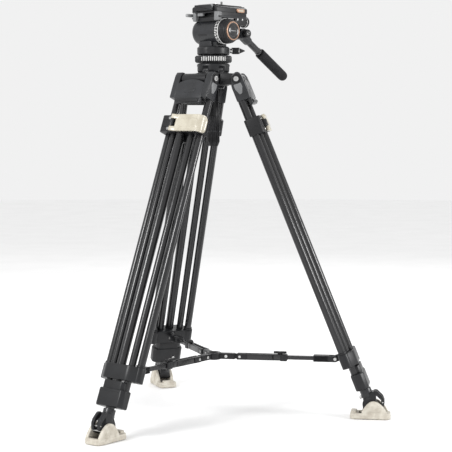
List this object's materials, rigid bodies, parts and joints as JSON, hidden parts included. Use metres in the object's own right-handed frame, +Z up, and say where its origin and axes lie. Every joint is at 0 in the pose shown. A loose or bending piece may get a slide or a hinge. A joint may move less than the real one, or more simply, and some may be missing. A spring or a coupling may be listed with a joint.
{
  "type": "fluid-head video tripod",
  "caption": "Video tripod with a fluid pan and tilt head, sliding plate, tandem-tube telescopic legs, mid-level spreader and rubber boots.",
  "frame": {"origin": "on the floor, under the middle of the stored object's bounding box", "axes": "+Z up along the stand's axis; +X to the right and +Y away from the side the object is seen from"},
  "size_m": [0.676, 0.7134, 0.9495],
  "materials": {
    "black_casting": "fine powder coat, satin",
    "black_anodised": "black anodised, satin",
    "black_nylon": "moulded, fine texture",
    "cream_plastic": "moulded, semi-gloss",
    "cream_rubber": "moulded rubber, matt",
    "black_rubber": "foamed rubber, matt",
    "bright_steel": "plated",
    "grey_alloy": "bead-blasted"
  },
  "bodies": {
    "crown": {"crown_casting": "black_casting", "half_ball": "black_casting", "hip_pin_front": "bright_steel", "hip_pin_right": "bright_steel", "hip_pin_rear": "bright_steel"},
    "tie_down": {"tie_down_grip": "black_nylon"},
    "drag_ring": {"pan_drag_ring": "black_casting"},
    "pan_head": {"pan_housing": "black_casting", "tilt_drum": "black_casting"},
    "pan_lock": {"pan_lock_knob": "black_nylon"},
    "tilt_lock": {"tilt_lock_lever": "black_nylon"},
    "drag_dial": {"tilt_drag_dial": "black_nylon", "dial_trim_ring": "cream_plastic", "dial_cap": "black_nylon"},
    "tilt_bed": {"plate_bed": "black_casting", "tilt_scale_ring": "black_casting"},
    "release": {"release_button": "cream_plastic"},
    "plate_lever": {"plate_lock_lever": "grey_alloy"},
    "counterbalance": {"counterbalance_knob": "black_nylon"},
    "plate": {"camera_plate": "black_anodised", "plate_pad": "black_rubber"},
    "mount_screw": {"camera_screw": "bright_steel"},
    "handle": {"handle_clamp": "black_casting", "handle_bar": "black_anodised", "handle_grip": "black_rubber"},
    "rosette_knob": {"handle_knob": "black_nylon"},
    "hub": {"spreader_hub": "black_casting"},
    "leg_front": {"hip_yoke_front": "black_casting", "outer_frame_front": "black_anodised"},
    "stage_front": {"middle_frame_front": "black_anodised", "slider_block_front": "black_nylon"},
    "lever_front": {"lock_lever_front": "cream_plastic"},
    "lower_front": {"lower_tube_front": "black_anodised", "foot_fork_front": "black_casting"},
    "foot_front": {"boot_front": "cream_rubber"},
    "arm_front": {"arm_bracket_front": "black_casting", "arm_tube_front": "black_anodised"},
    "arm_screw_front": {"thumb_screw_front": "black_nylon"},
    "leg_right": {"hip_yoke_right": "black_casting", "outer_frame_right": "black_anodised"},
    "stage_right": {"middle_frame_right": "black_anodised", "slider_block_right": "black_nylon"},
    "lever_right": {"lock_lever_right": "cream_plastic"},
    "lower_right": {"lower_tube_right": "black_anodised", "foot_fork_right": "black_casting"},
    "foot_right": {"boot_right": "cream_rubber"},
    "arm_right": {"arm_bracket_right": "black_casting", "arm_tube_right": "black_anodised"},
    "arm_screw_right": {"thumb_screw_right": "black_nylon"},
    "leg_rear": {"hip_yoke_rear": "black_casting", "outer_frame_rear": "black_anodised"},
    "stage_rear": {"middle_frame_rear": "black_anodised", "slider_block_rear": "black_nylon"},
    "lever_rear": {"lock_lever_rear": "cream_plastic"},
    "lower_rear": {"lower_tube_rear": "black_anodised", "foot_fork_rear": "black_casting"},
    "foot_rear": {"boot_rear": "cream_rubber"},
    "arm_rear": {"arm_bracket_rear": "black_casting", "arm_tube_rear": "black_anodised"},
    "arm_screw_rear": {"thumb_screw_rear": "black_nylon"}
  },
  "joints": [
    {"name": "hip_front", "type": "hinge", "parent": "crown", "child": "leg_front", "pos_m": [-0.10504, -0.07613, 0.771], "axis": [0.7771, -0.6293, 0], "range_deg": [0, 18]},
    {"name": "stage_slide_front", "type": "slide", "parent": "leg_front", "child": "stage_front", "axis": [-0.2357, -0.2911, -0.9272], "range_m": [0, 0.39]},
    {"name": "lower_slide_front", "type": "slide", "parent": "stage_front", "child": "lower_front", "axis": [-0.2357, -0.2911, -0.9272], "range_m": [0, 0.42]},
    {"name": "lock_lever_front", "type": "hinge", "parent": "stage_front", "child": "lever_front", "pos_m": [-0.16007, -0.11229, 0.67393], "axis": [-0.2357, -0.2911, -0.9272], "range_deg": [0, 100]},
    {"name": "boot_front", "type": "hinge", "parent": "lower_front", "child": "foot_front", "pos_m": [-0.29797, -0.31437, 0.0256], "axis": [0.7771, -0.6293, 0], "range_deg": [-15, 15]},
    {"name": "arm_front", "type": "hinge", "parent": "leg_front", "child": "arm_front", "pos_m": [-0.24476, -0.24867, 0.135], "axis": [0.7771, -0.6293, 0], "range_deg": [0, 69]},
    {"name": "thumb_screw_front", "type": "hinge", "parent": "arm_front", "child": "arm_screw_front", "pos_m": [-0.16484, -0.14997, 0.1423], "axis": [0, 0, 1], "range_deg": [0, 360]},
    {"name": "hip_right", "type": "hinge", "parent": "crown", "child": "leg_right", "pos_m": [-0.00802, -0.03889, 0.771], "axis": [0.1564, 0.9877, 0], "range_deg": [0, 18]},
    {"name": "stage_slide_right", "type": "slide", "parent": "leg_right", "child": "stage_right", "axis": [0.37, -0.0586, -0.9272], "range_m": [0, 0.39]},
    {"name": "lower_slide_right", "type": "slide", "parent": "stage_right", "child": "lower_right", "axis": [0.37, -0.0586, -0.9272], "range_m": [0, 0.42]},
    {"name": "lock_lever_right", "type": "hinge", "parent": "stage_right", "child": "lever_right", "pos_m": [0.05081, -0.06845, 0.67393], "axis": [0.37, -0.0586, -0.9272], "range_deg": [0, 100]},
    {"name": "boot_right", "type": "hinge", "parent": "lower_right", "child": "foot_right", "pos_m": [0.29476, -0.08684, 0.0256], "axis": [0.1564, 0.9877, 0], "range_deg": [-15, 15]},
    {"name": "arm_right", "type": "hinge", "parent": "leg_right", "child": "arm_right", "pos_m": [0.21126, -0.07362, 0.135], "axis": [0.1564, 0.9877, 0], "range_deg": [0, 69]},
    {"name": "thumb_screw_right", "type": "hinge", "parent": "arm_right", "child": "arm_screw_right", "pos_m": [0.08582, -0.05375, 0.1423], "axis": [0, 0, 1], "range_deg": [0, 360]},
    {"name": "hip_rear", "type": "hinge", "parent": "crown", "child": "leg_rear", "pos_m": [-0.08879, 0.02651, 0.771], "axis": [-0.9336, -0.3584, 0], "range_deg": [0, 18]},
    {"name": "stage_slide_rear", "type": "slide", "parent": "leg_rear", "child": "stage_rear", "axis": [-0.1342, 0.3497, -0.9272], "range_m": [0, 0.39]},
    {"name": "lower_slide_rear", "type": "slide", "parent": "stage_rear", "child": "lower_rear", "axis": [-0.1342, 0.3497, -0.9272], "range_m": [0, 0.42]},
    {"name": "lock_lever_rear", "type": "hinge", "parent": "stage_rear", "child": "lever_rear", "pos_m": [-0.0926, 0.09224, 0.67393], "axis": [-0.1342, 0.3497, -0.9272], "range_deg": [0, 100]},
    {"name": "boot_rear", "type": "hinge", "parent": "lower_rear", "child": "foot_rear", "pos_m": [-0.19865, 0.31271, 0.0256], "axis": [-0.9336, -0.3584, 0], "range_deg": [-15, 15]},
    {"name": "arm_rear", "type": "hinge", "parent": "leg_rear", "child": "arm_rear", "pos_m": [-0.16835, 0.23378, 0.135], "axis": [-0.9336, -0.3584, 0], "range_deg": [0, 69]},
    {"name": "thumb_screw_rear", "type": "hinge", "parent": "arm_rear", "child": "arm_screw_rear", "pos_m": [-0.12284, 0.11522, 0.1423], "axis": [0, 0, 1], "range_deg": [0, 360]},
    {"name": "hub_slide", "type": "slide", "parent": "crown", "child": "hub", "axis": [0, 0, 1], "range_m": [0, 0.1826]},
    {"name": "tie_down_turn", "type": "hinge", "parent": "crown", "child": "tie_down", "pos_m": [-0.06729, -0.0295, 0], "axis": [0, 0, 1], "range_deg": [0, 360]},
    {"name": "pan_drag_turn", "type": "hinge", "parent": "crown", "child": "drag_ring", "pos_m": [-0.06729, -0.0295, 0], "axis": [0, 0, 1], "range_deg": [-120, 120]},
    {"name": "pan", "type": "hinge", "parent": "crown", "child": "pan_head", "pos_m": [-0.06729, -0.0295, 0], "axis": [0, 0, 1], "continuous": true},
    {"name": "pan_lock_turn", "type": "hinge", "parent": "pan_head", "child": "pan_lock", "pos_m": [-0.06729, -0.0295, 0.83625], "axis": [1, 0, 0], "range_deg": [0, 180]},
    {"name": "tilt_lock_turn", "type": "hinge", "parent": "pan_head", "child": "tilt_lock", "pos_m": [-0.06574, -0.00088, 0.853], "axis": [0.6691, 0.7431, 0], "range_deg": [-25, 15]},
    {"name": "drag_dial_turn", "type": "hinge", "parent": "pan_head", "child": "drag_dial", "pos_m": [-0.06729, -0.0295, 0.879], "axis": [0.7431, -0.6691, 0], "range_deg": [0, 270]},
    {"name": "tilt", "type": "hinge", "parent": "pan_head", "child": "tilt_bed", "pos_m": [-0.06729, -0.0295, 0.879], "axis": [0.7431, -0.6691, 0], "range_deg": [-20, 60]},
    {"name": "release_press", "type": "slide", "parent": "tilt_bed", "child": "release", "axis": [-0.7431, 0.6691, 0], "range_m": [0, 0.0025], "stiffness_N_per_m": 500},
    {"name": "plate_lever_swing", "type": "hinge", "parent": "tilt_bed", "child": "plate_lever", "pos_m": [-0.10935, -0.01046, 0.9119], "axis": [0, 0, 1], "range_deg": [-75, 0]},
    {"name": "counterbalance_turn", "type": "hinge", "parent": "tilt_bed", "child": "counterbalance", "pos_m": [-0.00115, 0.01107, 0.9046], "axis": [0.6691, 0.7431, 0], "range_deg": [0, 270]},
    {"name": "plate_slide", "type": "slide", "parent": "tilt_bed", "child": "plate", "axis": [0.6691, 0.7431, 0], "range_m": [-0.03, 0.03]},
    {"name": "camera_screw_turn", "type": "hinge", "parent": "plate", "child": "mount_screw", "pos_m": [-0.04855, -0.00869, 0.879], "axis": [0, 0, 1], "range_deg": [0, 360]},
    {"name": "handle_raise", "type": "hinge", "parent": "tilt_bed", "child": "handle", "pos_m": [-0.00477, -0.0064, 0.876], "axis": [0.7431, -0.6691, 0], "range_deg": [0, 40]},
    {"name": "handle_knob_turn", "type": "hinge", "parent": "handle", "child": "rosette_knob", "pos_m": [0.00407, -0.01436, 0.876], "axis": [0.7431, -0.6691, 0], "range_deg": [0, 270]}
  ],
  "couplings": [
    {"joint": "arm_front", "follows": "hip_front", "ratio": 3.8174},
    {"joint": "hip_right", "follows": "hip_front", "ratio": 1},
    {"joint": "arm_right", "follows": "hip_front", "ratio": 3.8174},
    {"joint": "hip_rear", "follows": "hip_front", "ratio": 1},
    {"joint": "arm_rear", "follows": "hip_front", "ratio": 3.8174},
    {"joint": "hub_slide", "follows": "hip_front", "m_per_rad": 0.57988}
  ]
}
